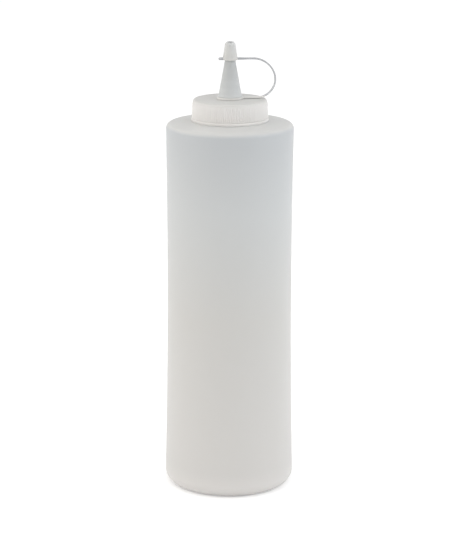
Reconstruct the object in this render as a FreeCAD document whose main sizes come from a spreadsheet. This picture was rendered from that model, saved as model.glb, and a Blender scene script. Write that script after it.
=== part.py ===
"""Squeeze bottle: a blow-moulded bottle, its ribbed screw cap with a nozzle, and a tip cap on a leash.

The bottle stands at the origin with +Z up. The cap's own zero is its seat on the neck's lip, and the
leash's own zero is the flat top of the cap, so each piece follows the one that carries it.
"""
import FreeCAD, Part
import math
import os
from collections import namedtuple
import Sketcher

# Driving sizes in millimetres, save the count and the two angles. Each becomes a cell of the sheet.
SIZES = [
    ("body_radius", 35.9, "bottle wall where it meets the heel"),
    ("waist_inset", 1.5, "how much slimmer the wall is half way up"),
    ("shoulder_inset", 0.9, "how much slimmer the wall is where it meets the shoulder"),
    ("shoulder_height", 202.0, "height at which the wall starts to round over"),
    ("dome_rise", 4.6, "from there up to the root of the neck"),
    ("heel_round", 7.3, "rounding between wall and foot"),
    ("shoulder_round", 2.9, "rounding of the shoulder's edge"),
    ("ring_foot", 2.6, "width of the ring that the bottle stands on"),
    ("punt_depth", 3.0, "how far the base is pushed up in the middle"),
    ("bottle_wall", 1.0, "thickness of the blown wall"),
    ("neck_radius", 17.5, "neck outside, without the thread"),
    ("neck_wall", 2.2, "thickness of the neck"),
    ("neck_height", 10.15, "from the neck's root to its lip"),
    ("thread_depth", 1.25, "room for the thread between neck and skirt"),
    ("thread_clearance", 0.25, "between the thread's crest and the skirt"),
    ("plate_thickness", 1.3, "top plate of the cap"),
    ("skirt_wall", 1.6, "thickness of the skirt at its foot, under the ribs"),
    ("skirt_draft", 0.25, "how much slimmer the skirt is at its top"),
    ("rim_proud", 0.6, "plain rim at the skirt's foot, beyond the skirt"),
    ("rim_height", 1.3, "height of the plain rim"),
    ("cap_round", 1.5, "rounding of the cap's upper edge"),
    ("rib_count", 120, "ribs round the skirt"),
    ("rib_depth", 0.25, "how far a rib stands out"),
    ("rib_width", 0.5, "width of a rib"),
    ("seal_depth", 2.0, "plug seal that enters the neck"),
    ("seal_wall", 0.9, "thickness of the plug seal"),
    ("seal_clearance", 0.1, "between the plug seal and the neck"),
    ("nozzle_height", 25.5, "from the cap's top to the nozzle's tip"),
    ("nozzle_root", 6.7, "nozzle radius at the cap's top, without groove and bead"),
    ("nozzle_tip", 2.1, "nozzle radius at its tip"),
    ("root_wall", 1.5, "from the nozzle's root in to the bore at the underside of the cap's plate"),
    ("tip_wall", 0.9, "from the nozzle's tip in to the bore"),
    ("groove_depth", 0.6, "groove in which the leash's ring turns, below the nozzle's root"),
    ("bead_proud", 0.2, "bead that keeps the ring down, beyond the nozzle's root"),
    ("bead_height", 0.3, "straight edge of the bead"),
    ("flare_height", 1.6, "from the bead up to where the plain cone starts"),
    ("ring_height", 1.35, "thickness of the leash's ring"),
    ("ring_width", 1.0, "from the hole of the leash's ring to its rim"),
    ("ring_clearance", 0.1, "between the ring, the groove and the bead"),
    ("grip_depth", 4.1, "how deep the nozzle stands in the tip cap"),
    ("grip_clearance", 0.1, "between the nozzle and the tip cap"),
    ("tip_cap_height", 9.9, "tip cap from its flange to its top"),
    ("tip_cap_wall", 1.08, "wall of the tip cap at its foot"),
    ("tip_cap_draft", 1.1, "how much slimmer the tip cap is at its top, before rounding"),
    ("tip_cap_round", 2.0, "rounding of the tip cap's top"),
    ("flange_proud", 0.2, "flange round the mouth of the tip cap, beyond its wall"),
    ("flange_height", 1.2, "thickness of the flange, the tab and the strap's root"),
    ("recess_radius", 1.75, "hollow in the top of the tip cap"),
    ("recess_depth", 3.5, "depth of that hollow"),
    ("pin_length", 1.5, "pin that plugs the bore"),
    ("tab_length", 2.15, "from the flange to the end of the pull tab"),
    ("tab_width", 3.0, "width of the pull tab"),
    ("strap_width", 2.0, "width of the strap"),
    ("strap_thickness", 0.9, "thickness of the strap"),
    ("strap_lift", 0.15, "strap's underside above the cap's top"),
    ("strap_crown", 12.5, "from the axis to where the strap starts to bend down"),
    ("strap_round", 12.45, "radius of the strap's upper bend"),
    ("strap_turn", 67.0, "degrees that the upper bend turns before the lower one takes over"),
    ("root_length", 5.0, "thickened root of the strap beside the flange"),
    ("leash_turn", 6.0, "degrees that the leash has turned round the nozzle, away from the X axis"),
]

SHEET = "sizes"
HORIZONTAL_AXIS = -1
VERTICAL_AXIS = -2
START = 1
END = 2
CENTRE = 3
NEAR = 1e-4


# One stretch of an outline: where it ends, the centre and maybe the radius of an arc, and the two inner
# poles of a cubic curve. A smooth stretch leaves the one before it at a tangent.
Stretch = namedtuple("Stretch", "end centre radius poles smooth")


class Size:
    """A length as a number, which places a sketch's geometry, and as the formula that drives it."""

    def __init__(self, number, formula):
        self.number = number
        self.formula = formula

    def __add__(self, other):
        return Size(self.number + number(other), f"({self.formula} + {formula(other)})")

    def __sub__(self, other):
        return Size(self.number - number(other), f"({self.formula} - {formula(other)})")

    def __mul__(self, other):
        return Size(self.number * number(other), f"({self.formula} * {formula(other)})")

    def __truediv__(self, other):
        return Size(self.number / number(other), f"({self.formula} / {formula(other)})")

    def __neg__(self):
        return Size(-self.number, f"(-{self.formula})")


def number(size):
    return size.number if isinstance(size, Size) else size


def formula(size):
    return size.formula if isinstance(size, Size) else repr(size)


def sine(turn):
    """The sine of an angle held in degrees."""
    return Size(math.sin(math.radians(turn.number)), f"sin({turn.formula} * 1deg)")


def level_centre(start, end):
    """Height of the centre, on the axis, of an arc between two points."""
    (x0, z0), (x1, z1) = [(number(x), number(z)) for x, z in (start, end)]
    return (x1**2 + z1**2 - x0**2 - z0**2) / (2 * (z1 - z0))


def make_sheet(doc):
    sheet = doc.addObject("Spreadsheet::Sheet", SHEET)
    for row, (name, value, note) in enumerate(SIZES, start=1):
        sheet.set(f"A{row}", name)
        sheet.set(f"B{row}", str(value))
        sheet.set(f"C{row}", note)
        sheet.setAlias(f"B{row}", name)
    doc.recompute()
    return {name: Size(value, f"{SHEET}.{name}") for name, value, note in SIZES}


def make_body(doc, label, seat=None):
    """A body with its own label, lifted to its seat by its placement."""
    body = doc.addObject("PartDesign::Body", label)
    body.Label = label
    if seat is not None:
        body.setExpression("Placement.Base.z", seat.formula)
    return body


def origin_feature(body, role):
    return next(part for part in body.Origin.OriginFeatures if part.Role == role)


def make_sketch(body, name, plane="XZ_Plane", offset=None):
    """An empty sketch on one of the body's own planes, moved along its normal by offset."""
    sketch = body.newObject("Sketcher::SketchObject", name)
    sketch.AttachmentSupport = [(origin_feature(body, plane), "")]
    sketch.MapMode = "FlatFace"
    if offset is not None:
        sketch.setExpression("AttachmentOffset.Base.z", offset.formula)
    return sketch


def line(x, z, smooth=False):
    return Stretch((x, z), None, None, None, smooth)


def arc(end, centre, radius=None, smooth=False):
    return Stretch(end, centre, radius, None, smooth)


def curve(end, *poles):
    return Stretch(end, None, None, poles, False)


def vector(x, z):
    return FreeCAD.Vector(number(x), number(z), 0)


def drive(sketch, size, kind, *places):
    """Adds a dimension and binds it to the sheet."""
    row = sketch.addConstraint(Sketcher.Constraint(kind, *places, size.number))
    sketch.setExpression(f"Constraints[{row}]", size.formula)


def pin(sketch, edge, end, x, z):
    """Holds a point. A Size drives its coordinate, the integer 0 is the axis and a float stays free."""
    for coordinate, kind, axis in ((x, "DistanceX", VERTICAL_AXIS), (z, "DistanceY", HORIZONTAL_AXIS)):
        if isinstance(coordinate, Size):
            drive(sketch, coordinate, kind, HORIZONTAL_AXIS, START, edge, end)
        elif isinstance(coordinate, int):
            sketch.addConstraint(Sketcher.Constraint("PointOnObject", edge, end, axis))


def add_line(sketch, here, there):
    edge = sketch.addGeometry(Part.LineSegment(vector(*here), vector(*there)))
    return edge, START, END


def add_arc(sketch, here, there, centre):
    """Draws an arc the short way round. Returns its number, its first end and its other one."""
    middle = vector(*centre)
    spokes = [vector(*here) - middle, vector(*there) - middle]
    angles = [math.atan2(spoke.y, spoke.x) for spoke in spokes]
    leftward = spokes[0].cross(spokes[1]).z > 0
    first, last = angles if leftward else reversed(angles)
    circle = Part.Circle(middle, FreeCAD.Vector(0, 0, 1), spokes[0].Length)
    edge = sketch.addGeometry(Part.ArcOfCircle(circle, first, last + 2 * math.pi * (last < first)))
    return (edge, START, END) if leftward else (edge, END, START)


def add_curve(sketch, here, there, poles):
    """Draws a cubic curve and holds its two inner poles, which the sketch shows as circles."""
    form = Part.BSplineCurve()
    points = [vector(*point) for point in (here, *poles, there)]
    form.buildFromPolesMultsKnots(points, [4, 4], [0, 1], False, 3)
    edge = sketch.addGeometry(form)
    sketch.exposeInternalGeometry(edge)
    for circle, pole in zip((edge + 2, edge + 3), poles):
        pin(sketch, circle, CENTRE, *pole)
    return edge, START, END


def trace(sketch, start, stretches, closed=True):
    """Draws stretches one after the other and joins them. Points are (x, z), as pin takes them."""
    here = start
    drawn = []
    for stretch in stretches:
        if stretch.centre:
            drawn.append(add_arc(sketch, here, stretch.end, stretch.centre))
        elif stretch.poles:
            drawn.append(add_curve(sketch, here, stretch.end, stretch.poles))
        else:
            drawn.append(add_line(sketch, here, stretch.end))
        here = stretch.end
    if closed:
        before = [drawn[-1]] + drawn[:-1]
    else:
        before = [None] + drawn[:-1]
        pin(sketch, drawn[0][0], drawn[0][1], *start)
    for stretch, last, (edge, entry, leave) in zip(stretches, before, drawn):
        if last:
            kind = "Tangent" if stretch.smooth else "Coincident"
            sketch.addConstraint(Sketcher.Constraint(kind, last[0], last[2], edge, entry))
        pin(sketch, edge, leave, *stretch.end)
        if stretch.centre:
            pin(sketch, edge, CENTRE, *stretch.centre)
        if stretch.radius:
            drive(sketch, stretch.radius, "Radius", edge)


def polygon(sketch, corners):
    trace(sketch, corners[-1], [line(*point) for point in corners])
    return sketch


def turn(body, kind, name, sketch):
    """Turns a sketch once round the body's own Z axis, as a Revolution or a Groove."""
    feature = body.newObject(f"PartDesign::{kind}", name)
    feature.Profile = sketch
    feature.ReferenceAxis = (origin_feature(body, "Z_Axis"), [""])
    feature.Angle = 360
    return feature


def groove(body, name, sketch):
    """Turns a cut and makes sure that it takes material away."""
    body.Document.recompute()
    before = body.Tip.Shape.Volume
    feature = turn(body, "Groove", name, sketch)
    body.Document.recompute()
    if feature.Shape.Volume >= before:
        raise ValueError(f"{name} cuts nothing")


def pad(body, name, sketch, length, midplane=False):
    feature = body.newObject("PartDesign::Pad", name)
    feature.Profile = sketch
    feature.Midplane = midplane
    feature.setExpression("Length", length.formula)
    return feature


def rings_at(shape, radius, height):
    """Names of the full-circle edges round the axis with this radius at this height."""
    names = []
    for index, edge in enumerate(shape.Edges, start=1):
        if edge.Degenerated or not isinstance(edge.Curve, Part.Circle):
            continue
        apart = (edge.Curve.Radius - number(radius), edge.Curve.Center.z - number(height))
        if max(map(abs, apart)) < NEAR:
            names.append(f"Edge{index}")
    return names


def fillet(body, name, radius, height, rounding):
    """Rounds the one edge of the body that runs round the axis at this radius and height."""
    body.Document.recompute()
    base = body.Tip
    feature = body.newObject("PartDesign::Fillet", name)
    feature.Base = (base, rings_at(base.Shape, radius, height))
    feature.setExpression("Radius", rounding.formula)


def bottle_outline(body, name, s, inset, neck):
    """Half outline of the blown form, moved inwards by inset and with a neck of its own radius."""
    root = s["shoulder_height"] + s["dome_rise"]
    lip = root + s["neck_height"]
    punt_top = (0, s["punt_depth"] + inset)
    heel_centre = (s["body_radius"] - s["heel_round"], s["heel_round"])
    punt_foot = (heel_centre[0] - s["ring_foot"], inset)
    shoulder_edge = s["body_radius"] - s["shoulder_inset"]
    foot = s["body_radius"] - inset
    shoulder = shoulder_edge - inset
    # With both poles here, the cubic wall passes through the waist half way up.
    bow = ((foot - s["waist_inset"]) * 8 - foot - shoulder) / 6
    third = (s["shoulder_height"] - s["heel_round"]) / 3
    lower_pole = (bow, s["heel_round"] + third)
    upper_pole = (bow, s["shoulder_height"] - third)
    shoulder_centre = (shoulder_edge - s["shoulder_round"], s["shoulder_height"])
    shoulder_top = (s["shoulder_height"] + s["shoulder_round"] - inset).number
    dome_foot = (shoulder_centre[0].number, shoulder_top)
    neck_root = (neck, root - inset)
    sketch = make_sketch(body, name)
    trace(sketch, punt_top, [
        arc(punt_foot, (0, level_centre(punt_top, punt_foot))),
        line(heel_centre[0], inset),
        arc((foot.number, s["heel_round"]), heel_centre),
        curve((shoulder, s["shoulder_height"]), lower_pole, upper_pole),
        arc(dome_foot, shoulder_centre),
        arc(neck_root, (0, level_centre(dome_foot, neck_root)), smooth=True),
        line(neck, lip),
        line(0, lip),
        line(*punt_top),
    ])
    return sketch


def make_bottle(doc, s):
    """Blown bottle: slight waist, rounded heel, pushed-up base, domed shoulder and a thicker neck."""
    body = make_body(doc, "bottle")
    bore = s["neck_radius"] - s["neck_wall"]
    turn(body, "Revolution", "form", bottle_outline(body, "outside", s, 0, s["neck_radius"]))
    groove(body, "hollow", bottle_outline(body, "inside", s, s["bottle_wall"], bore))
    return body


def nozzle_at(s, height):
    """Radius of the plain nozzle cone at a height above the cap's top."""
    return s["nozzle_root"] - (s["nozzle_root"] - s["nozzle_tip"]) * height / s["nozzle_height"]


def make_cap(doc, s):
    """Screw cap: ribbed skirt, plain rim, plug seal, groove and bead for the leash, hollow nozzle."""
    body = make_body(doc, "cap", seat=s["shoulder_height"] + s["dome_rise"] + s["neck_height"])
    seal = s["neck_radius"] - s["neck_wall"] - s["seal_clearance"]
    seal_inside = seal - s["seal_wall"]
    skirt_inside = s["neck_radius"] + s["thread_depth"] + s["thread_clearance"]
    skirt_foot = skirt_inside + s["skirt_wall"]
    skirt_top = skirt_foot - s["skirt_draft"]
    rim = skirt_foot + s["rim_proud"]
    bottom = -s["neck_height"]
    rim_top = bottom + s["rim_height"]
    top = s["plate_thickness"]
    groove_top = top + s["ring_height"] + s["ring_clearance"]
    bead_top = groove_top + s["bead_height"]
    flare_top = bead_top + s["flare_height"]
    groove_floor = s["nozzle_root"] - s["groove_depth"]
    bead = s["nozzle_root"] + s["bead_proud"]
    cone = nozzle_at(s, flare_top - top)
    tip = top + s["nozzle_height"]
    bore_root = s["nozzle_root"] - s["root_wall"]
    flare_centre = (bead.number + s["flare_height"].number, flare_top.number)
    section = make_sketch(body, "cap_section")
    trace(section, (bore_root, 0), [
        line(seal_inside, 0),
        line(seal_inside, -s["seal_depth"]),
        line(seal, -s["seal_depth"]),
        line(seal, 0),
        line(skirt_inside, 0),
        line(skirt_inside, bottom),
        line(rim, bottom),
        line(rim, rim_top),
        line(skirt_foot, rim_top),
        line(skirt_top, top),
        line(groove_floor, top),
        line(groove_floor, groove_top),
        line(bead, groove_top),
        line(bead, bead_top),
        arc((cone, flare_top), flare_centre),
        line(s["nozzle_tip"], tip, smooth=True),
        line(s["nozzle_tip"] - s["tip_wall"], tip),
        line(bore_root, 0),
    ])
    turn(body, "Revolution", "cap_form", section)
    fillet(body, "cap_edge", skirt_top, top, s["cap_round"])
    depth = s["rib_depth"]
    fade = top - s["cap_round"]
    outline = polygon(make_sketch(body, "rib_outline"), [
        (skirt_foot - depth, rim_top),
        (skirt_foot + depth, rim_top),
        (skirt_top + depth, fade - depth * 4),
        (skirt_top - depth, fade),
    ])
    rib = pad(body, "rib", outline, s["rib_width"], midplane=True)
    ribs = body.newObject("PartDesign::PolarPattern", "ribs")
    ribs.Originals = [rib]
    ribs.Axis = (origin_feature(body, "Z_Axis"), [""])
    ribs.Angle = 360
    ribs.setExpression("Occurrences", s["rib_count"].formula)
    body.Tip = ribs
    return body


def add_strap(body, s, ring_middle, flange, flange_middle):
    """Flat strap from the ring, up and over in two bends, to the flange, where its root is thicker."""
    half = s["strap_thickness"] / 2
    low = s["strap_lift"] + half
    end = flange - half
    turned = math.radians(s["strap_turn"].number)
    bend = s["strap_crown"] + s["strap_round"] * sine(s["strap_turn"])
    upper_centre = flange_middle.number - s["strap_round"].number
    bend_height = upper_centre + s["strap_round"].number * math.cos(turned)
    lower_round = (bend_height - low.number) / (1 + math.cos(turned))
    lower_centre = (bend.number - lower_round * math.sin(turned), low.number + lower_round)
    path = make_sketch(body, "strap_path")
    trace(path, (ring_middle, low), [
        line(lower_centre[0], low),
        arc((bend, bend_height), lower_centre, smooth=True),
        arc(
            (s["strap_crown"].number, flange_middle),
            (s["strap_crown"], upper_centre),
            radius=s["strap_round"],
            smooth=True,
        ),
        line(end, flange_middle, smooth=True),
    ], closed=False)
    section = make_sketch(body, "strap_section", "YZ_Plane", offset=ring_middle)
    side = s["strap_width"] / 2
    polygon(section, [
        (-side, s["strap_lift"]),
        (side, s["strap_lift"]),
        (side, low + half),
        (-side, low + half),
    ])
    strap = body.newObject("PartDesign::AdditivePipe", "strap")
    strap.Profile = section
    strap.Spine = (path, [""])
    root_half = s["flange_height"] / 2
    root_end = flange + s["root_length"]
    root = polygon(make_sketch(body, "strap_root_outline"), [
        (end, flange_middle - root_half),
        (root_end, flange_middle - half),
        (root_end, flange_middle + half),
        (end, flange_middle + root_half),
    ])
    pad(body, "strap_root", root, s["strap_width"], midplane=True)


def make_leash(doc, s):
    """Leash in one moulding: ring round the nozzle's foot, bent strap, tip cap and pull tab."""
    seat = s["shoulder_height"] + s["dome_rise"] + s["neck_height"] + s["plate_thickness"]
    body = make_body(doc, "leash", seat)
    body.setExpression("Placement.Rotation.Angle", f"{s['leash_turn'].formula} * 1deg")
    foot = s["nozzle_height"] - s["grip_depth"]
    flange_top = foot + s["flange_height"]
    crown = foot + s["tip_cap_height"]
    mouth = nozzle_at(s, foot) + s["grip_clearance"]
    side = mouth + s["tip_cap_wall"]
    side_top = side - s["tip_cap_draft"]
    flange = side + s["flange_proud"]
    outline = polygon(make_sketch(body, "tip_cap_outline"), [
        (0, foot),
        (flange, foot),
        (flange, flange_top),
        (side, flange_top),
        (side_top, crown),
        (0, crown),
    ])
    turn(body, "Revolution", "tip_cap", outline)
    fillet(body, "tip_cap_crown", side_top, crown, s["tip_cap_round"])

    half = s["tab_width"] / 2
    reach = flange + s["tab_length"]
    hinge = half - reach
    tab = make_sketch(body, "tab_outline", "XY_Plane", offset=foot)
    trace(tab, (0, half), [
        line(hinge, half),
        arc((-reach.number, 0), (hinge, 0)),
        arc((hinge, -half.number), (hinge, 0)),
        line(0, -half),
        line(0, half),
    ])
    pad(body, "pull_tab", tab, s["flange_height"])

    ring_inside = s["nozzle_root"] - s["groove_depth"] + s["ring_clearance"]
    ring_outside = ring_inside + s["ring_width"]
    ring = polygon(make_sketch(body, "ring_section"), [
        (ring_inside, 0),
        (ring_outside, 0),
        (ring_outside, s["ring_height"]),
        (ring_inside, s["ring_height"]),
    ])
    ring_middle = ring_inside + s["ring_width"] / 2
    add_strap(body, s, ring_middle, flange, foot + s["flange_height"] / 2)
    turn(body, "Revolution", "ring", ring)

    plug = s["nozzle_tip"] - s["tip_wall"] - s["grip_clearance"]
    plug_end = s["nozzle_height"] - s["pin_length"]
    cavity = polygon(make_sketch(body, "cavity_outline"), [
        (0, foot),
        (mouth, foot),
        (s["nozzle_tip"] + s["grip_clearance"], s["nozzle_height"]),
        (plug, s["nozzle_height"]),
        (plug, plug_end),
        (0, plug_end),
    ])
    groove(body, "cavity", cavity)
    recess = polygon(make_sketch(body, "recess_outline"), [
        (0, crown - s["recess_depth"]),
        (s["recess_radius"], crown - s["recess_depth"]),
        (s["recess_radius"], crown),
        (0, crown),
    ])
    groove(body, "recess", recess)
    return body


def check(doc, bodies):
    """Stops if any object failed or any piece isn't one valid solid."""
    for item in doc.Objects:
        if "Invalid" in item.State or "Error" in item.State:
            raise ValueError(f"{item.Label} failed: {item.State}")
    for body in bodies:
        shape = body.Shape
        if shape.isNull() or not shape.isValid() or len(shape.Solids) != 1:
            raise ValueError(f"{body.Label} is not one valid solid")


doc = FreeCAD.newDocument("squeeze_bottle")
sizes = make_sheet(doc)
pieces = [make_bottle(doc, sizes), make_cap(doc, sizes), make_leash(doc, sizes)]
doc.recompute()
check(doc, pieces)
os.makedirs("parts", exist_ok=True)
for piece in pieces:
    piece.Shape.exportStep(f"parts/{piece.Label}.step")
    box = piece.Shape.BoundBox
    print(f"{piece.Label}: {piece.Shape.Volume:.0f} mm3, z {box.ZMin:.2f} to {box.ZMax:.2f}")
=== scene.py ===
"""Looks of the squeeze bottle: a frosted blown bottle, its ribbed screw cap and a tip cap on a bent leash.

Scene lengths are metres. Sizes of the pieces are written in millimetres and turned to metres by MM, and
the heights that the pieces start from are read from the frame.
"""
import math
import bmesh
import bpy
from mathutils import Matrix, Vector, geometry, noise


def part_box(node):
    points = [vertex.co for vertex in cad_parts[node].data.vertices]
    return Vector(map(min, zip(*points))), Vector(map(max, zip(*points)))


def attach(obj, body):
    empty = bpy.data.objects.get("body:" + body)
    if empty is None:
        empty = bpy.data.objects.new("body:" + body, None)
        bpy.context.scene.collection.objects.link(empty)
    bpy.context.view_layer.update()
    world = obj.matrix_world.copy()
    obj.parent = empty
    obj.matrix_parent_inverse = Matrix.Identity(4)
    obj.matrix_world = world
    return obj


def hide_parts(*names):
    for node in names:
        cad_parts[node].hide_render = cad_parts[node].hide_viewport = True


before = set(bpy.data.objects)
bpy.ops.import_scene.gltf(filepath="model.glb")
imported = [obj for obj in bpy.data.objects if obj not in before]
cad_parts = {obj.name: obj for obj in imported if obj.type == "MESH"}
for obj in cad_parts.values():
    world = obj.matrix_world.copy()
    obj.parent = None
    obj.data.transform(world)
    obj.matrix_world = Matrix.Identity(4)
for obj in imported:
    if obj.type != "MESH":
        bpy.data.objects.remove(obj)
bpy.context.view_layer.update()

MM = 0.001
UP = Vector((0, 0, 1))
ALONG_DEPTH = (0, 1, 0)
TURN = 2 * math.pi

bottle_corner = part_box("bottle")[1]
cap_low, cap_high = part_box("cap")
leash_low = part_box("leash")[0]

# Heights and radii that the pieces share, in millimetres.
BODY = bottle_corner.x / MM
LIP = bottle_corner.z / MM
NECK_ROOT = cap_low.z / MM
RIM = cap_high.x / MM
NOZZLE_END = cap_high.z / MM
CAP_TOP = leash_low.z / MM
NECK = 17.5
NECK_BORE = 15.3
NOZZLE_ROOT = 6.7
NOZZLE_TIP = 2.1
GROOVE = 6.1
# Air that keeps two touching faces apart.
HAIR = 0.02
# Vertices nearer to each other than this are one vertex.
SAME_PLACE = 0.002


# --- mesh helpers -----------------------------------------------------------------------------------

def wire(bm, outline, closed=False, segments=6):
    """Draws an outline in the XZ plane. A point is (radius, height) or (radius, height, rounding), in mm.

    The rounding is how far before and after the corner the curve starts and ends.
    """
    verts = [bm.verts.new((point[0] * MM, 0, point[1] * MM)) for point in outline]
    for here, there in zip(verts, verts[1:]):
        bm.edges.new((here, there))
    if closed:
        bm.edges.new((verts[-1], verts[0]))
    for vert, point in zip(verts, outline):
        if len(point) == 3:
            bmesh.ops.bevel(
                bm, geom=[vert], offset=point[2] * MM, segments=segments, profile=0.5,
                affect="VERTICES", material=-1, clamp_overlap=False,
            )


def spin(bm, turn, steps, **options):
    """Spins all of a mesh about the axis, by a turn in degrees."""
    bmesh.ops.spin(
        bm, geom=bm.verts[:] + bm.edges[:] + bm.faces[:], cent=(0, 0, 0), axis=UP,
        angle=math.radians(turn), steps=steps, **options,
    )


def tidy(bm):
    """Merges what meets and turns the faces outwards."""
    bmesh.ops.remove_doubles(bm, verts=bm.verts[:], dist=SAME_PLACE * MM)
    bmesh.ops.recalc_face_normals(bm, faces=bm.faces[:])
    return bm


def turned(outline, steps, closed=False, segments=6):
    """Turns an outline once round the axis and closes its poles."""
    bm = bmesh.new()
    wire(bm, outline, closed, segments)
    spin(bm, 360, steps, use_merge=True)
    return tidy(bm)


def move(bm, verts, x=0.0, y=0.0, z=0.0):
    """Moves vertices by a step in mm."""
    bmesh.ops.translate(bm, verts=verts, vec=(x * MM, y * MM, z * MM))


def turn_about_axis(bm, degrees):
    matrix = Matrix.Rotation(math.radians(degrees), 3, "Z")
    bmesh.ops.rotate(bm, verts=bm.verts[:], cent=(0, 0, 0), matrix=matrix)


def arc(centre, radius, start, end, count):
    """Points of an arc about (radius, height), between two angles in degrees above the outward level."""
    angles = [math.radians(start + (end - start) * i / count) for i in range(count + 1)]
    return [(centre[0] + radius * math.cos(a), centre[1] + radius * math.sin(a)) for a in angles]


def verts_of(geom):
    return [part for part in geom if isinstance(part, bmesh.types.BMVert)]


def edges_among(bm, verts):
    chosen = set(verts)
    return [edge for edge in bm.edges if chosen.issuperset(edge.verts)]


def smooth_step(x):
    """Eases from 0 to 1 as x goes from 0 to 1, and stays level on both sides."""
    x = min(1, max(0, x))
    return x * x * (3 - 2 * x)


def loose_object(name, bm):
    mesh = bpy.data.meshes.new(name)
    bm.to_mesh(mesh)
    bm.free()
    made = bpy.data.objects.new(name, mesh)
    bpy.context.scene.collection.objects.link(made)
    return made


def welded(bodies):
    """Joins closed meshes into one moulding with no walls left inside it."""
    holders = [loose_object(f"weld_{index}", bm) for index, bm in enumerate(bodies)]
    for other in holders[1:]:
        union = holders[0].modifiers.new(other.name, "BOOLEAN")
        union.operation = "UNION"
        union.solver = "MANIFOLD"
        union.object = other
    joined = holders[0].evaluated_get(bpy.context.evaluated_depsgraph_get())
    bm = bmesh.new()
    bm.from_mesh(joined.to_mesh())
    joined.to_mesh_clear()
    for holder in holders:
        bpy.data.objects.remove(holder)
    return bm


def piece(name, bm, material, smooth_angle=38):
    """Makes the finished object of a mesh, smooth but for its sharp edges."""
    made = loose_object(name, bm)
    made.data.shade_smooth()
    made.data.set_sharp_from_angle(angle=math.radians(smooth_angle))
    made.data.materials.append(material)
    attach(made, "root")
    return made


# --- materials --------------------------------------------------------------------------------------

# Soft clouds in the milky plastic, about as wide as a finger, in millimetres.
CLOUD = 14
# How far the clouds shift the bands of colour up and down, as a share of the height that the bands span.
DRIFT = 0.006
# The blasted mould leaves a grain of about 0.05 mm. It is drawn six times as coarse, so that it shows.
GRAIN = 0.3
GRAIN_DEPTH = 0.05
# The clouds make the skin up to this share rougher or smoother.
WEAR = 0.1
# How far light spreads inside the plastic, in millimetres.
GLOW = 1.2
# Refractive index of low-density polyethylene.
LDPE_IOR = 1.51


def linear(hex_colour):
    """Linear colour of an sRGB hex value."""
    parts = [int(hex_colour[i:i + 2], 16) / 255 for i in (1, 3, 5)]
    return [c / 12.92 if c <= 0.04045 else ((c + 0.055) / 1.055) ** 2.4 for c in parts] + [1]


def add(tree, kind, settings=None, **links):
    """Adds a node. Settings name its properties or inputs; links name inputs and give output sockets.

    An input known by its number is written as that number in settings and with a _ before it in links.
    """
    node = tree.nodes.new(kind)
    for name, value in (settings or {}).items():
        if name in node.inputs:
            node.inputs[name].default_value = value
        elif name.isdigit():
            node.inputs[int(name)].default_value = value
        else:
            setattr(node, name, value)
    for name, socket in links.items():
        key = int(name[1:]) if name[1:].isdigit() else name.replace("_", " ")
        tree.links.new(socket, node.inputs[key])
    return node


def new_material(name):
    material = bpy.data.materials.new(name)
    material.use_nodes = True
    tree = material.node_tree
    tree.nodes.clear()
    return material, tree


def polythene(name, shades, grain, clear=0.0, streak=1.0):
    """Natural low-density polyethylene: milky and translucent, with a satin moulded skin.

    The eye sees a soft grey white without a hard highlight. The colours carry painted light and shade,
    lighter or darker by height, and the blasted parts of the mould leave a duller skin than its polished
    parts.
    So colour and roughness follow the height: shades is a list of (height in mm, colour, roughness).
    Grain is the strength of the skin's grain, clear the share of light that goes straight through, and a
    streak below 1 draws the clouds out upwards, as blowing draws out the plastic.
    """
    material, tree = new_material(name)
    place = add(tree, "ShaderNodeTexCoord").outputs["Object"]
    height = add(tree, "ShaderNodeSeparateXYZ", Vector=place).outputs["Z"]
    low, high = shades[0][0], shades[-1][0]
    level = add(tree, "ShaderNodeMapRange", {"From Min": low * MM, "From Max": high * MM},
                Value=height).outputs["Result"]
    cloud_place = add(tree, "ShaderNodeMapping", {"Scale": (1, 1, streak)}, Vector=place)
    cloud = add(tree, "ShaderNodeTexNoise", {"Scale": 1 / (CLOUD * MM), "Detail": 3.0, "Roughness": 0.55},
                Vector=cloud_place.outputs["Vector"]).outputs["Fac"]
    drift = add(tree, "ShaderNodeMath", {"operation": "MULTIPLY_ADD", "1": DRIFT, "2": -DRIFT / 2},
                _0=cloud).outputs["Value"]
    shifted = add(tree, "ShaderNodeMath", {"operation": "ADD"}, _0=level, _1=drift)
    colours = add(tree, "ShaderNodeValToRGB", Fac=shifted.outputs["Value"])
    finishes = add(tree, "ShaderNodeValToRGB", Fac=level)
    for ramp in (colours, finishes):
        stops = ramp.color_ramp.elements
        while len(stops) < len(shades):
            stops.new(0.5)
        for stop, (at, colour, roughness) in zip(stops, shades):
            stop.position = (at - low) / (high - low)
            stop.color = linear(colour) if ramp is colours else (roughness, roughness, roughness, 1)
    skin = add(tree, "ShaderNodeTexNoise", {"Scale": 1 / (GRAIN * MM), "Detail": 2.0},
               Vector=place).outputs["Fac"]
    wear = add(tree, "ShaderNodeMapRange", {"To Min": 1 - WEAR, "To Max": 1 + WEAR},
               Value=cloud).outputs["Result"]
    rough = add(tree, "ShaderNodeMath", {"operation": "MULTIPLY"}, _0=finishes.outputs["Color"], _1=wear)
    bump = add(tree, "ShaderNodeBump", {"Strength": grain, "Distance": GRAIN_DEPTH * MM}, Height=skin)
    shader = add(
        tree, "ShaderNodeBsdfPrincipled",
        {
            "IOR": LDPE_IOR,
            "Transmission Weight": clear,
            "Subsurface Weight": 1.0,
            "Subsurface Radius": (1.0, 1.0, 1.0),
            "Subsurface Scale": GLOW * MM,
        },
        Base_Color=colours.outputs["Color"], Roughness=rough.outputs["Value"],
        Normal=bump.outputs["Normal"],
    )
    add(tree, "ShaderNodeOutputMaterial", Surface=shader.outputs["BSDF"])
    return material
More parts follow.
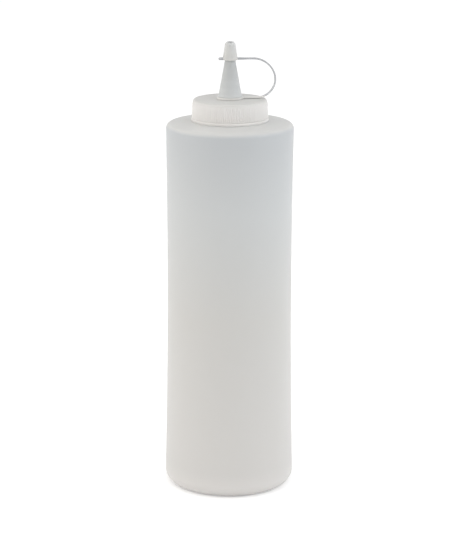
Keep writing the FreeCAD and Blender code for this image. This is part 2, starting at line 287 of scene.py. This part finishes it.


# The blown wall, its colours painted light and shade: lightest and warmest at the base, as painted bounce
# light from the floor, darker and cooler upwards, as painted shade under the cap, darkest just under the
# shoulder, and a lighter dome, a painted highlight on the shoulder's lit top. The dome is also smoother.
BLOWN = polythene(
    "blown_ldpe_frosted",
    [(0, "#e2dfdc", 0.4), (14, "#d8d6d3", 0.42), (100, "#d2d1ce", 0.42), (160, "#ced0d0", 0.42),
     (202.8, "#c4c7c9", 0.42), (204.2, "#d4d4d2", 0.3)],
    grain=0.06, clear=0.1, streak=0.25,
)
# The screw cap: a warm white skirt over its threads, a glossier top plate painted darker, and a nozzle
# painted darker and greyer upwards; both darkenings are painted shade.
MOULDED = polythene(
    "moulded_ldpe_satin",
    [(206, "#dbd9d6", 0.42), (216, "#dad8d6", 0.42), (218, "#c7c6c3", 0.32), (220, "#c8caca", 0.4),
     (234, "#b7b9b9", 0.4), (244, "#b9bbba", 0.4)],
    grain=0.05,
)
# The leash's thick places, its ring and tip cap: as white as the skirt at the foot, greyer above.
LEASH = polythene(
    "moulded_ldpe_leash",
    [(218, "#d8d7d4", 0.35), (239, "#c8c7c4", 0.4), (249, "#c6c7c6", 0.4)],
    grain=0.05,
)
# The leash's thin places, strap, tab and crown's hollow, painted greyer still: painted shade, darkest in
# the crown's hollow.
THIN_PAINTED_SHADE = polythene(
    "moulded_ldpe_thin_painted_shade",
    [(219, "#bfc0c2", 0.35), (230, "#b2b3b5", 0.4), (242, "#a9aaad", 0.4), (249, "#808285", 0.4)],
    grain=0.05,
)


# --- bottle -----------------------------------------------------------------------------------------

WALL = 1.0
# The base: the heel's rounding, the width and rounding of the standing ring, and the height of the punt.
HEEL_ROUND = 7.3
RING_FOOT = 2.6
FOOT_ROUND = 1.0
PUNT = 3.0
# How far the wall stands in from the heel's radius at its top and at its waist.
SHOULDER_INSET = 0.9
WAIST_INSET = 1.5
# Height of the wall's top, rounding of the corner above it, and radius of the dome's sphere.
SHOULDER = 202.0
SHOULDER_ROUND = 2.9
DOME = 218.6
BASE_STEPS = 5
WALL_STEPS = 15
DOME_STEPS = 6
# The blown wall isn't quite true: soft swells draw it in, on average by this share of its radius. They are
# this wide, longer upwards than round, and fade in over this height above the base and below the shoulder.
SWELL = 0.001
SWELL_SIZE = 38
SWELL_STREAK = 0.6
SWELL_FADE = 25
# The wall's two faces swell together: all that lies this near to the body's full radius.
SWELL_ZONE = 5
# The mould line: its turn from the sides in degrees, how far it reaches to both sides of the mould's
# parting, how deep it is rooted in the wall, and how far it stands out of the base and of the dome.
# On the wall it stands out by what the swells draw in.
LINE_TURN = 9
LINE_BACK, LINE_FRONT = 0.17, 0.18
LINE_ROOT = 0.4
LINE_BELOW_BASE = 0.05
LINE_ABOVE_DOME = 0.04
# At the standing ring it runs this far under the skin, so that it never lifts the bottle.
LINE_UNDER_SKIN = 0.03


def wall_points(inset):
    """Blown wall from the heel to the shoulder, with its slight waist, as a cubic curve."""
    foot = BODY - inset
    top = foot - SHOULDER_INSET
    # The curve's two middle corners lie at this radius, so that it passes through the waist halfway up.
    bow = ((foot - WAIST_INSET) * 8 - foot - top) / 6
    third = (SHOULDER - HEEL_ROUND) / 3
    corners = [Vector((foot, 0, HEEL_ROUND)), Vector((bow, 0, HEEL_ROUND + third)),
               Vector((bow, 0, SHOULDER - third)), Vector((top, 0, SHOULDER))]
    points = geometry.interpolate_bezier(*corners, WALL_STEPS + 1)
    return [(point.x, point.z) for point in points[1:-1]]


def dome_points(inset, neck):
    """Shallow dome from the shoulder's rounded corner in to the neck, without the neck's own corner."""
    centre = NECK_ROOT - math.sqrt(DOME**2 - NECK**2)
    edge = BODY - SHOULDER_INSET - inset
    radii = [edge - (edge - neck) * i / DOME_STEPS for i in range(DOME_STEPS)]
    points = [(r, centre + math.sqrt((DOME - inset) ** 2 - r * r)) for r in radii]
    turn = math.pi / 2 - math.asin(edge / DOME)
    rounding = (SHOULDER_ROUND - inset) * math.tan(turn / 2)
    return [points[0] + (rounding,)] + points[1:]


def blown_line(inset, neck):
    """Half outline of the blown form moved inwards by inset, from the middle of the base to the neck."""
    edge = BODY - HEEL_ROUND - RING_FOOT
    shares = [i / BASE_STEPS for i in range(BASE_STEPS)]
    base = [(edge * share, inset + PUNT * (1 - share**2)) for share in shares]
    foot = [(edge, inset, FOOT_ROUND), (BODY - inset, inset, HEEL_ROUND - inset)]
    return base + foot + wall_points(inset) + dome_points(inset, neck)


def mirrored(line):
    """A half line from the axis outwards, with its mirror image before it."""
    return [(-point[0],) + point[1:] for point in line[:0:-1]] + line


def bottle_shell():
    """Blown bottle with its real wall, open at the neck."""
    neck = [(NECK, NECK_ROOT, 0.6), (NECK, LIP, 0.4), (NECK_BORE, LIP, 0.4),
            (NECK_BORE, NECK_ROOT - WALL, 0.6)]
    bm = turned(blown_line(0, NECK) + neck + blown_line(WALL, NECK_BORE)[::-1], steps=192, segments=9)
    wall_starts = (BODY - SWELL_ZONE) * MM
    fade_over = SWELL_FADE * MM
    for vert in bm.verts:
        x, y, z = vert.co
        if math.hypot(x, y) < wall_starts:
            continue
        swell = noise.noise(Vector((x, y, z * SWELL_STREAK)) / (SWELL_SIZE * MM))
        give = smooth_step(z / fade_over) * smooth_step((SHOULDER * MM - z) / fade_over)
        vert.co *= Vector((1, 1, 1)) - Vector((1, 1, 0)) * give * (swell + 1) * SWELL
    return bm


def mould_line():
    """Fine raised line where the two halves of the mould met: across the base and up both sides."""
    outer = blown_line(0, NECK)[:-1]
    inner = blown_line(LINE_ROOT, NECK)[:-1]
    base, foot, rest = outer[:BASE_STEPS], outer[BASE_STEPS], outer[BASE_STEPS + 1:]
    line = [(r, z - LINE_BELOW_BASE) for r, z in base]
    line += [(foot[0], foot[1] + LINE_UNDER_SKIN, foot[2])]
    line += [point for point in rest if point[1] < SHOULDER]
    dome = [point for point in rest if point[1] >= SHOULDER]
    line += [(point[0], point[1] + LINE_ABOVE_DOME) + point[2:] for point in dome]
    bm = bmesh.new()
    wire(bm, mirrored(line) + mirrored(inner)[::-1], closed=True)
    bmesh.ops.contextual_create(bm, geom=bm.edges[:])
    made = bmesh.ops.extrude_face_region(bm, geom=bm.faces[:])["geom"]
    move(bm, verts_of(made), y=LINE_BACK + LINE_FRONT)
    move(bm, bm.verts[:], y=-LINE_BACK)
    turn_about_axis(bm, LINE_TURN)
    return tidy(bm)


# --- threads ----------------------------------------------------------------------------------------

PITCH = 4.2
STEPS_A_TURN = 60
# At each end the thread runs out over this share of its length, down to this share of its height.
RUN_OUT = 1 / 6
RUN_OUT_LEFT = 0.05


def thread(start, turns, root, crest, root_width, crest_width):
    """One start of a screw thread, from root to crest radius, running out at both ends."""
    bm = bmesh.new()
    wire(bm, [(root, -root_width / 2), (crest, -crest_width / 2), (crest, crest_width / 2),
              (root, root_width / 2)], closed=True)
    bmesh.ops.contextual_create(bm, geom=bm.edges[:])
    steps = int(turns * STEPS_A_TURN)
    spin(bm, 360 * turns, steps, dvec=(0, 0, PITCH * turns / steps * MM))
    bmesh.ops.recalc_face_normals(bm, faces=bm.faces[:])
    length = PITCH * turns * MM
    for vert in bm.verts:
        flat = Vector((vert.co.x, vert.co.y))
        run = vert.co.z / length
        fade = smooth_step(run / RUN_OUT) * smooth_step((1 - run) / RUN_OUT)
        share = RUN_OUT_LEFT + (1 - RUN_OUT_LEFT) * fade
        wanted = root * MM + (flat.length - root * MM) * share
        flat *= wanted / flat.length
        vert.co.x, vert.co.y = flat
    move(bm, bm.verts[:], z=start)
    return bm


# --- cap --------------------------------------------------------------------------------------------

RIBS = 120
RIB_DEPTH = 0.25
# A rib's crest is level in the middle and falls off to both sides: its height has the first value in the
# middle, loses the second for each rib's width away from it, and is eased between 0 and 1.
RIB_CREST = 1.7
RIB_SLOPE = 4.2
STEPS_A_RIB = 6
SKIRT_INSIDE = 19.0
SKIRT_FOOT = 20.6
SKIRT_TOP = 20.35
RIM_HEIGHT = 1.3
# The rim's outer edge reaches this far below the neck's root, where it meets the falling dome.
RIM_DROP = 0.36
CAP_ROUND = 1.5
SEAL = 15.2
SEAL_INSIDE = 14.3
SEAL_DEPTH = 2
BORE_ROOT = NOZZLE_ROOT - 1.5
BORE_TIP = 1.2
# The bead overhangs the groove from this height above the cap's top.
BEAD = NOZZLE_ROOT + 0.2
BEAD_FOOT = 1.45
# The flare above the bead is an arc: its centre (radius, height above the cap's top), radius and angles.
FLARE_CENTRE = (9.2, 3.91)
FLARE_ROUND = 3.16
FLARE_START, FLARE_END = 223, 190
# Shallow rings that show where to cut the nozzle for a wider opening: their heights above the cap's top,
# how far they reach up and down, and their depth.
CUTTING_MARKS = (6.4, 10.9, 16.9)
MARK_REACH = 0.3
MARK_DEPTH = 0.07


def cone(height):
    """Radius of the nozzle's plain cone at a height above the cap's top."""
    return NOZZLE_ROOT - (NOZZLE_ROOT - NOZZLE_TIP) * height / (NOZZLE_END - CAP_TOP)


def nozzle_points():
    """Nozzle from its bead up: a short flare, then the cone with its cutting marks."""
    points = arc(FLARE_CENTRE, FLARE_ROUND, FLARE_START, FLARE_END, 6)
    for height in CUTTING_MARKS:
        below, above = height - MARK_REACH, height + MARK_REACH
        points += [(cone(below), below), (cone(height) - MARK_DEPTH, height), (cone(above), above)]
    return [(r, CAP_TOP + z) for r, z in points]


def screw_cap():
    """Ribbed skirt over a plain rim, top plate with a groove and a bead, hollow nozzle and plug seal."""
    ceiling = LIP + HAIR
    rim_top = NECK_ROOT + RIM_HEIGHT
    # The ribs fade out over the last millimetre below this height, where the skirt rounds into the top.
    ribs_top = CAP_TOP - CAP_ROUND
    outline = [
        (BORE_ROOT, ceiling, 0.3),
        (SEAL_INSIDE, ceiling, 0.3),
        (SEAL_INSIDE, LIP - SEAL_DEPTH, 0.3),
        (SEAL, LIP - SEAL_DEPTH, 0.3),
        (SEAL, ceiling),
        (SKIRT_INSIDE, ceiling),
        (SKIRT_INSIDE, NECK_ROOT, 0.3),
        (RIM, NECK_ROOT - RIM_DROP),
        (RIM, rim_top, 0.35),
        (SKIRT_FOOT, rim_top, 0.15),
        (SKIRT_FOOT, rim_top + 0.4),
        (SKIRT_TOP + 0.03, ribs_top - 1.0),
        (SKIRT_TOP + 0.01, ribs_top - 0.4),
        (SKIRT_TOP, CAP_TOP, CAP_ROUND),
        (GROOVE, CAP_TOP, 0.15),
        (GROOVE, CAP_TOP + BEAD_FOOT, 0.12),
        (BEAD, CAP_TOP + BEAD_FOOT, 0.12),
    ]
    outline += nozzle_points() + [(NOZZLE_TIP, NOZZLE_END, 0.25), (BORE_TIP, NOZZLE_END, 0.2)]
    bm = bmesh.new()
    wire(bm, outline, closed=True, segments=4)
    spin(bm, 360 / RIBS, STEPS_A_RIB)
    for vert in bm.verts:
        flat = Vector((vert.co.x, vert.co.y))
        height = vert.co.z / MM
        if flat.length < (SKIRT_TOP - 0.1) * MM or not rim_top + 0.1 < height < ribs_top + 0.1:
            continue
        across = math.atan2(flat.y, flat.x) / TURN * RIBS
        crest = smooth_step(RIB_CREST - abs(across - 0.5) * RIB_SLOPE) * smooth_step(ribs_top - height)
        flat *= 1 + crest * RIB_DEPTH * MM / flat.length
        vert.co.x, vert.co.y = flat
    spin(bm, 360 - 360 / RIBS, RIBS - 1, use_duplicate=True)
    return tidy(bm)


# --- leash ------------------------------------------------------------------------------------------

# How far the leash is turned round the nozzle, in degrees.
LEASH_TURN = 6
RING_INSIDE = GROOVE + 0.1
RING_OUTSIDE = GROOVE + 1.1
RING_TOP = CAP_TOP + 1.35
MOUTH_HEIGHT = 21.4
FOOT = CAP_TOP + MOUTH_HEIGHT
CROWN = FOOT + 9.9
CROWN_ROUND = 2.0
# The crown's rounding meets the hollow before its own top, so it is drawn this much higher. It starts this
# many degrees up its circle, above the side's lean.
CROWN_LIFT = 0.15
CROWN_START = 7
# Mouth, side and flange are radii. The side leans in by the taper on its way up to the crown.
MOUTH = cone(MOUTH_HEIGHT) + 0.1
TIP_SIDE = MOUTH + 1.08
TIP_TAPER = 1.1
FLANGE = TIP_SIDE + 0.2
FLANGE_HEIGHT = 1.2
# The hollow in the crown, and the pin inside that stops the nozzle.
HOLLOW = 2.0
HOLLOW_FLOOR = CROWN - 3.5
PIN = 1.1
PIN_END = NOZZLE_END - 1.5
# The tab reaches out to here from the axis, and its root lies inside the flange.
TAB_REACH = FLANGE + 2.15
TAB_ROOT = FLANGE - 0.5
TAB_WIDTH = 3.0
STRAP_WIDTH = 2.0
STRAP_THICKNESS = 0.9
STRAP_ROUND = 0.25
# Air between the strap and the cap's top.
STRAP_AIR = 0.15
# The strap's upper bend: the distance of its centre from the axis, its radius and its turn in degrees.
UPPER_AT = 12.5
UPPER_ROUND = 12.45
UPPER_TURN = 67
# From here to the flange the strap grows as thick as the flange.
STRAP_ROOT = FLANGE + 5.0


def tip_cap():
    """Tip cap that grips the nozzle, with a flange round its mouth and a hollow in its crown."""
    centre = (TIP_SIDE - TIP_TAPER - CROWN_ROUND, CROWN - CROWN_ROUND + CROWN_LIFT)
    meet = math.degrees(math.acos((HOLLOW - centre[0]) / CROWN_ROUND))
    seat = NOZZLE_END + HAIR
    flange_top = FOOT + FLANGE_HEIGHT
    outline = [(0, PIN_END), (PIN, PIN_END, 0.2), (PIN, seat), (NOZZLE_TIP + 0.1, seat)]
    outline += [(MOUTH, FOOT, 0.15), (FLANGE, FOOT, 0.3), (FLANGE, flange_top, 0.3)]
    outline += [(TIP_SIDE, flange_top, 0.15)]
    outline += arc(centre, CROWN_ROUND, CROWN_START, meet, 7)
    outline += [(HOLLOW, HOLLOW_FLOOR, 0.3), (0, HOLLOW_FLOOR)]
    return turned(outline, steps=96)


def leash_ring():
    """Flat ring that turns in the groove at the nozzle's foot."""
    low = CAP_TOP + HAIR
    outline = [(RING_INSIDE, low, 0.2), (RING_OUTSIDE, low, 0.3), (RING_OUTSIDE, RING_TOP, 0.45),
               (RING_INSIDE, RING_TOP, 0.3)]
    return turned(outline, steps=128, closed=True)


def pull_tab():
    """Rounded tab that a finger lifts."""
    bm = bmesh.new()
    bmesh.ops.create_cube(bm, size=1)
    size = ((TAB_REACH - TAB_ROOT) * MM, TAB_WIDTH * MM, FLANGE_HEIGHT * MM)
    bmesh.ops.scale(bm, verts=bm.verts[:], vec=size)
    move(bm, bm.verts[:], x=-(TAB_REACH + TAB_ROOT) / 2, z=FOOT + FLANGE_HEIGHT / 2)
    far = -(TAB_REACH - 0.1) * MM
    ends = [edge for edge in bm.edges if max(vert.co.x for vert in edge.verts) < far
            and abs(edge.verts[0].co.z - edge.verts[1].co.z) > MM]
    bmesh.ops.bevel(
        bm, geom=ends, offset=(TAB_WIDTH / 2 - 0.01) * MM, segments=8, profile=0.5,
        affect="EDGES", material=-1,
    )
    free = -(TAB_ROOT + 0.01) * MM
    rims = [edge for edge in bm.edges if edge.calc_face_angle(0) > 1
            and max(vert.co.x for vert in edge.verts) < free]
    bmesh.ops.bevel(
        bm, geom=rims, offset=0.25 * MM, segments=3, profile=0.5, affect="EDGES", material=-1,
    )
    return tidy(bm)


def bend(bm, end, centre, angle, steps):
    """Sweeps the strap's open end about a centre (x, z) in mm. Returns the new end."""
    made = bmesh.ops.spin(
        bm, geom=edges_among(bm, end), cent=(centre[0] * MM, 0, centre[1] * MM), axis=ALONG_DEPTH,
        angle=math.radians(angle), steps=steps,
    )
    return verts_of(made["geom_last"])


def run_on(bm, end, length, count):
    """Draws the strap's open end straight on along X, in a number of steps. Returns the new end."""
    for _ in range(count):
        end = verts_of(bmesh.ops.extrude_edge_only(bm, edges=edges_among(bm, end))["geom"])
        move(bm, end, x=length / count)
    return end


def strap():
    """Flat strap: along the cap's top, up and over in two bends, to the thicker root at the flange."""
    low = CAP_TOP + STRAP_AIR + STRAP_THICKNESS / 2
    top = FOOT + FLANGE_HEIGHT / 2
    # Both ends lie inside what they are welded to: the ring here, and the flange at the other end.
    start = GROOVE + 0.6
    stop = FLANGE - 0.4
    turn = math.radians(UPPER_TURN)
    # The two bends meet at this height, and the lower one's radius follows from where they meet.
    meet = top - UPPER_ROUND + UPPER_ROUND * math.cos(turn)
    lower_round = (meet - low) / (1 + math.cos(turn))
    lower_at = UPPER_AT + (UPPER_ROUND - lower_round) * math.sin(turn)
    bm = bmesh.new()
    bmesh.ops.create_grid(bm, x_segments=1, y_segments=1, size=0.5)
    bmesh.ops.scale(bm, verts=bm.verts[:], vec=(STRAP_THICKNESS * MM, STRAP_WIDTH * MM, 1))
    bmesh.ops.bevel(
        bm, geom=bm.verts[:], offset=STRAP_ROUND * MM, segments=3, profile=0.5,
        affect="VERTICES", material=-1,
    )
    upright = Matrix.Rotation(math.radians(90), 3, "Y")
    bmesh.ops.rotate(bm, verts=bm.verts[:], cent=(0, 0, 0), matrix=upright)
    move(bm, bm.verts[:], x=start, z=low)
    end = run_on(bm, bm.verts[:], lower_at - start, 4)
    end = bend(bm, end, (lower_at, low + lower_round), UPPER_TURN - 180, 26)
    end = bend(bm, end, (UPPER_AT, top - UPPER_ROUND), -UPPER_TURN, 22)
    end = run_on(bm, end, STRAP_ROOT - UPPER_AT, 2)
    end = run_on(bm, end, stop - STRAP_ROOT, 5)
    bmesh.ops.contextual_create(bm, geom=edges_among(bm, end))
    for vert in bm.verts:
        if vert.co.z > (top - 2) * MM and vert.co.x < STRAP_ROOT * MM:
            along = (STRAP_ROOT - vert.co.x / MM) / (STRAP_ROOT - FLANGE)
            grow = 1 + (FLANGE_HEIGHT / STRAP_THICKNESS - 1) * min(1, along)
            vert.co.z = top * MM + (vert.co.z - top * MM) * grow
    return tidy(bm)


def leash():
    """Ring, strap, tip cap and tab in one moulding, turned a little round the nozzle.

    The strap, the tab and the walls of the crown's hollow are thin, and take the second material, which
    paints shade on them, darkest in the crown's hollow.
    """
    bm = welded([tip_cap(), strap(), leash_ring(), pull_tab()])
    for face in bm.faces:
        middle = face.calc_center_median() / MM
        reach = math.hypot(middle.x, middle.y)
        in_hollow = reach < HOLLOW + HAIR and middle.z > NOZZLE_END + 1
        in_strap_or_tab = reach > FLANGE and middle.z > RING_TOP + 0.15
        if in_hollow or in_strap_or_tab:
            face.material_index = 1
    turn_about_axis(bm, LEASH_TURN)
    return bm


# --- pieces -----------------------------------------------------------------------------------------

shell = piece("bottle_shell", welded([bottle_shell(), mould_line()]), BLOWN)
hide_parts("bottle")
neck_thread = thread(start=NECK_ROOT + 2.6, turns=1.25, root=NECK - 0.05, crest=18.7,
                     root_width=2.6, crest_width=1.0)
piece("neck_thread", neck_thread, BLOWN)

cap = piece("screw_cap", screw_cap(), MOULDED)
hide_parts("cap")
cap_thread = thread(start=NECK_ROOT + 2.0, turns=1.0, root=SKIRT_INSIDE + 0.05, crest=17.9,
                    root_width=1.4, crest_width=0.6)
piece("cap_thread", cap_thread, MOULDED)

tip = piece("tip_cap_and_leash", leash(), LEASH)
# The second slot paints shade on the strap, the tab and the crown's hollow.
tip.data.materials.append(THIN_PAINTED_SHADE)
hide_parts("leash")


# --- studio -----------------------------------------------------------------------------------------

# Light that the floor gives off to the eye, to reflections and through clear plastic, and to nothing else.
FLOOR_LIFT = 0.27
# Strength of the room light in front, behind and above, and on both sides.
ROOM_DIM, ROOM_BRIGHT = 0.65, 1.08
# Name, place, width, height, watts and colour of each lamp.
SOFTBOXES = [
    ("softbox_left", (-1.15, -0.35, 0.75), 1.4, 1.4, 4.5, "#fff8ee"),
    ("softbox_right", (1.15, -0.35, 0.75), 1.4, 1.4, 4.5, "#f4f9ff"),
    ("softbox_front", (0, -1.6, 0.9), 1.2, 0.8, 3, "#ffffff"),
    ("softbox_top", (0, 0.1, 1.5), 1.4, 1.4, 2, "#ffffff"),
]
# The lamps face the middle of the bottle.
MIDDLE = Vector((0, 0, 0.13))
# The camera stands 1.2 m in front of the bottle's axis. Its lens is in millimetres.
CAMERA_PLACE = (0, -1.2, 0.422)
CAMERA_LENS = 149.64
# How far the camera looks down and is turned about its own view, in degrees.
CAMERA_DOWN = 13.99
CAMERA_ROLL = 0.18


def studio_floor():
    """Plain pale floor. It shows white to the eye and keeps the bottle's soft shadow."""
    material, tree = new_material("studio_floor_paper")
    ray = add(tree, "ShaderNodeLightPath")
    seen = add(tree, "ShaderNodeMath", {"operation": "MAXIMUM"}, _0=ray.outputs["Is Camera Ray"],
               _1=ray.outputs["Is Glossy Ray"])
    seen = add(tree, "ShaderNodeMath", {"operation": "MAXIMUM"}, _0=seen.outputs["Value"],
               _1=ray.outputs["Is Transmission Ray"])
    lift = add(tree, "ShaderNodeMath", {"operation": "MULTIPLY", "1": FLOOR_LIFT},
               _0=seen.outputs["Value"])
    paper = add(tree, "ShaderNodeBsdfDiffuse", {"Color": linear("#f0f0f0")})
    glow = add(tree, "ShaderNodeEmission", Strength=lift.outputs["Value"])
    both = add(tree, "ShaderNodeAddShader", _0=paper.outputs["BSDF"], _1=glow.outputs["Emission"])
    add(tree, "ShaderNodeOutputMaterial", Surface=both.outputs["Shader"])
    bm = bmesh.new()
    bmesh.ops.create_grid(bm, x_segments=1, y_segments=1, size=8)
    floor = loose_object("studio_floor", bm)
    floor.data.materials.append(material)


def studio_world():
    """Room light that is dim in front, behind and above, and bright on both sides."""
    world = bpy.data.worlds.new("studio")
    bpy.context.scene.world = world
    world.use_nodes = True
    tree = world.node_tree
    tree.nodes.clear()
    direction = add(tree, "ShaderNodeTexCoord").outputs["Generated"]
    sideways = add(tree, "ShaderNodeSeparateXYZ", Vector=direction).outputs["X"]
    away = add(tree, "ShaderNodeMath", {"operation": "ABSOLUTE"}, _0=sideways)
    strength = add(tree, "ShaderNodeMapRange", {"To Min": ROOM_DIM, "To Max": ROOM_BRIGHT},
                   Value=away.outputs["Value"])
    room = add(tree, "ShaderNodeBackground", {"Color": linear("#ffffff")},
               Strength=strength.outputs["Result"])
    add(tree, "ShaderNodeOutputWorld", Surface=room.outputs["Background"])


def softbox(name, place, width, height, watts, colour):
    lamp = bpy.data.lights.new(name, "AREA")
    lamp.shape = "RECTANGLE"
    lamp.size = width
    lamp.size_y = height
    lamp.energy = watts
    lamp.color = linear(colour)[:3]
    holder = bpy.data.objects.new(name, lamp)
    holder.location = place
    holder.rotation_euler = (MIDDLE - Vector(place)).to_track_quat("-Z", "Y").to_euler()
    holder.visible_camera = False
    bpy.context.scene.collection.objects.link(holder)


def studio_camera():
    """Camera in front of the bottle and a little above it, looking slightly down."""
    camera = bpy.data.cameras.new("camera")
    camera.sensor_width = 36
    camera.lens = CAMERA_LENS
    camera.clip_end = 50
    holder = bpy.data.objects.new("camera", camera)
    down = Matrix.Rotation(math.radians(90 - CAMERA_DOWN), 4, "X")
    roll = Matrix.Rotation(math.radians(CAMERA_ROLL), 4, "Z")
    holder.matrix_world = Matrix.Translation(CAMERA_PLACE) @ down @ roll
    bpy.context.scene.collection.objects.link(holder)
    bpy.context.scene.camera = holder


studio_floor()
studio_world()
for lamp in SOFTBOXES:
    softbox(*lamp)
studio_camera()
bpy.context.scene.view_settings.view_transform = "Standard"
